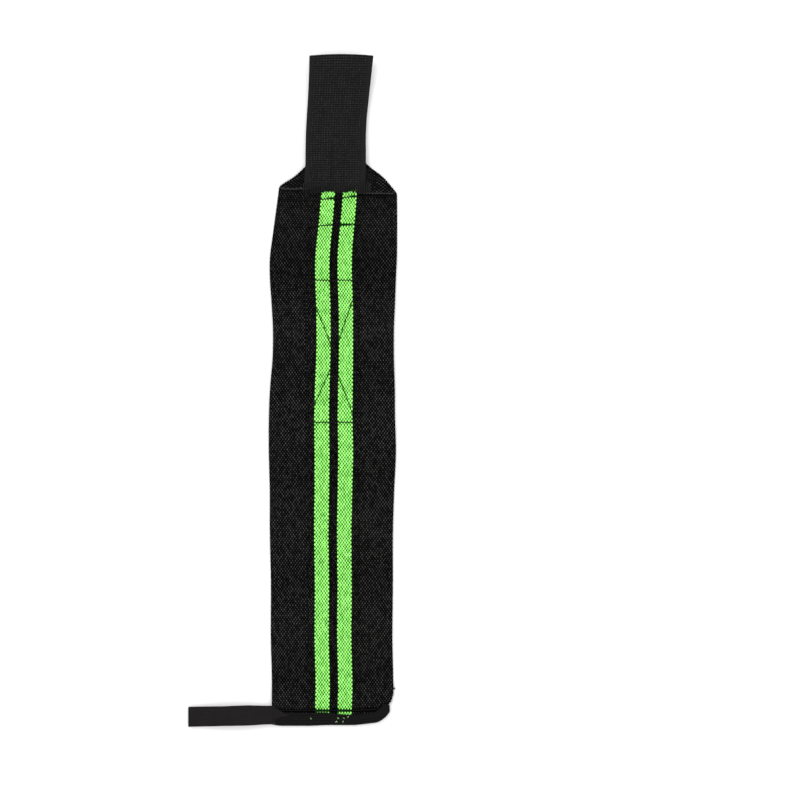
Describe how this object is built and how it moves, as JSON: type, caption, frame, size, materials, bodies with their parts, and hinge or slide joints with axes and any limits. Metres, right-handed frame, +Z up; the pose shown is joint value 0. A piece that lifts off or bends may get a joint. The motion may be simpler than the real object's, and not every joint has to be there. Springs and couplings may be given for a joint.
{
  "type": "wrist wrap",
  "caption": "Elastic lifting wrist wrap laid flat: wide woven band with two stripes, folded corners, hook strap, loop panel underneath and a narrow thumb loop.",
  "frame": {"origin": "middle of the footprint, on the surface the wrap lies on", "axes": "+Y along the band towards the hook strap's free end, +Z up from the surface to the face that touches the wrist, thumb loop towards -X"},
  "size_m": [0.136, 0.4352, 0.0123],
  "materials": {
    "band_webbing": "matte woven elastic, black",
    "stripe_yarn": "matte woven elastic, bright green stripes",
    "hook_tape": "woven nylon tape with fine hooks, black",
    "loop_elastic": "smooth fine-ribbed elastic tape, black",
    "loop_pile": "brushed loop pile, black"
  },
  "bodies": {
    "root": {"wrap_band": "band_webbing", "hook_strap": "hook_tape", "thumb_loop": "loop_elastic", "loop_panel": "loop_pile"}
  },
  "joints": []
}
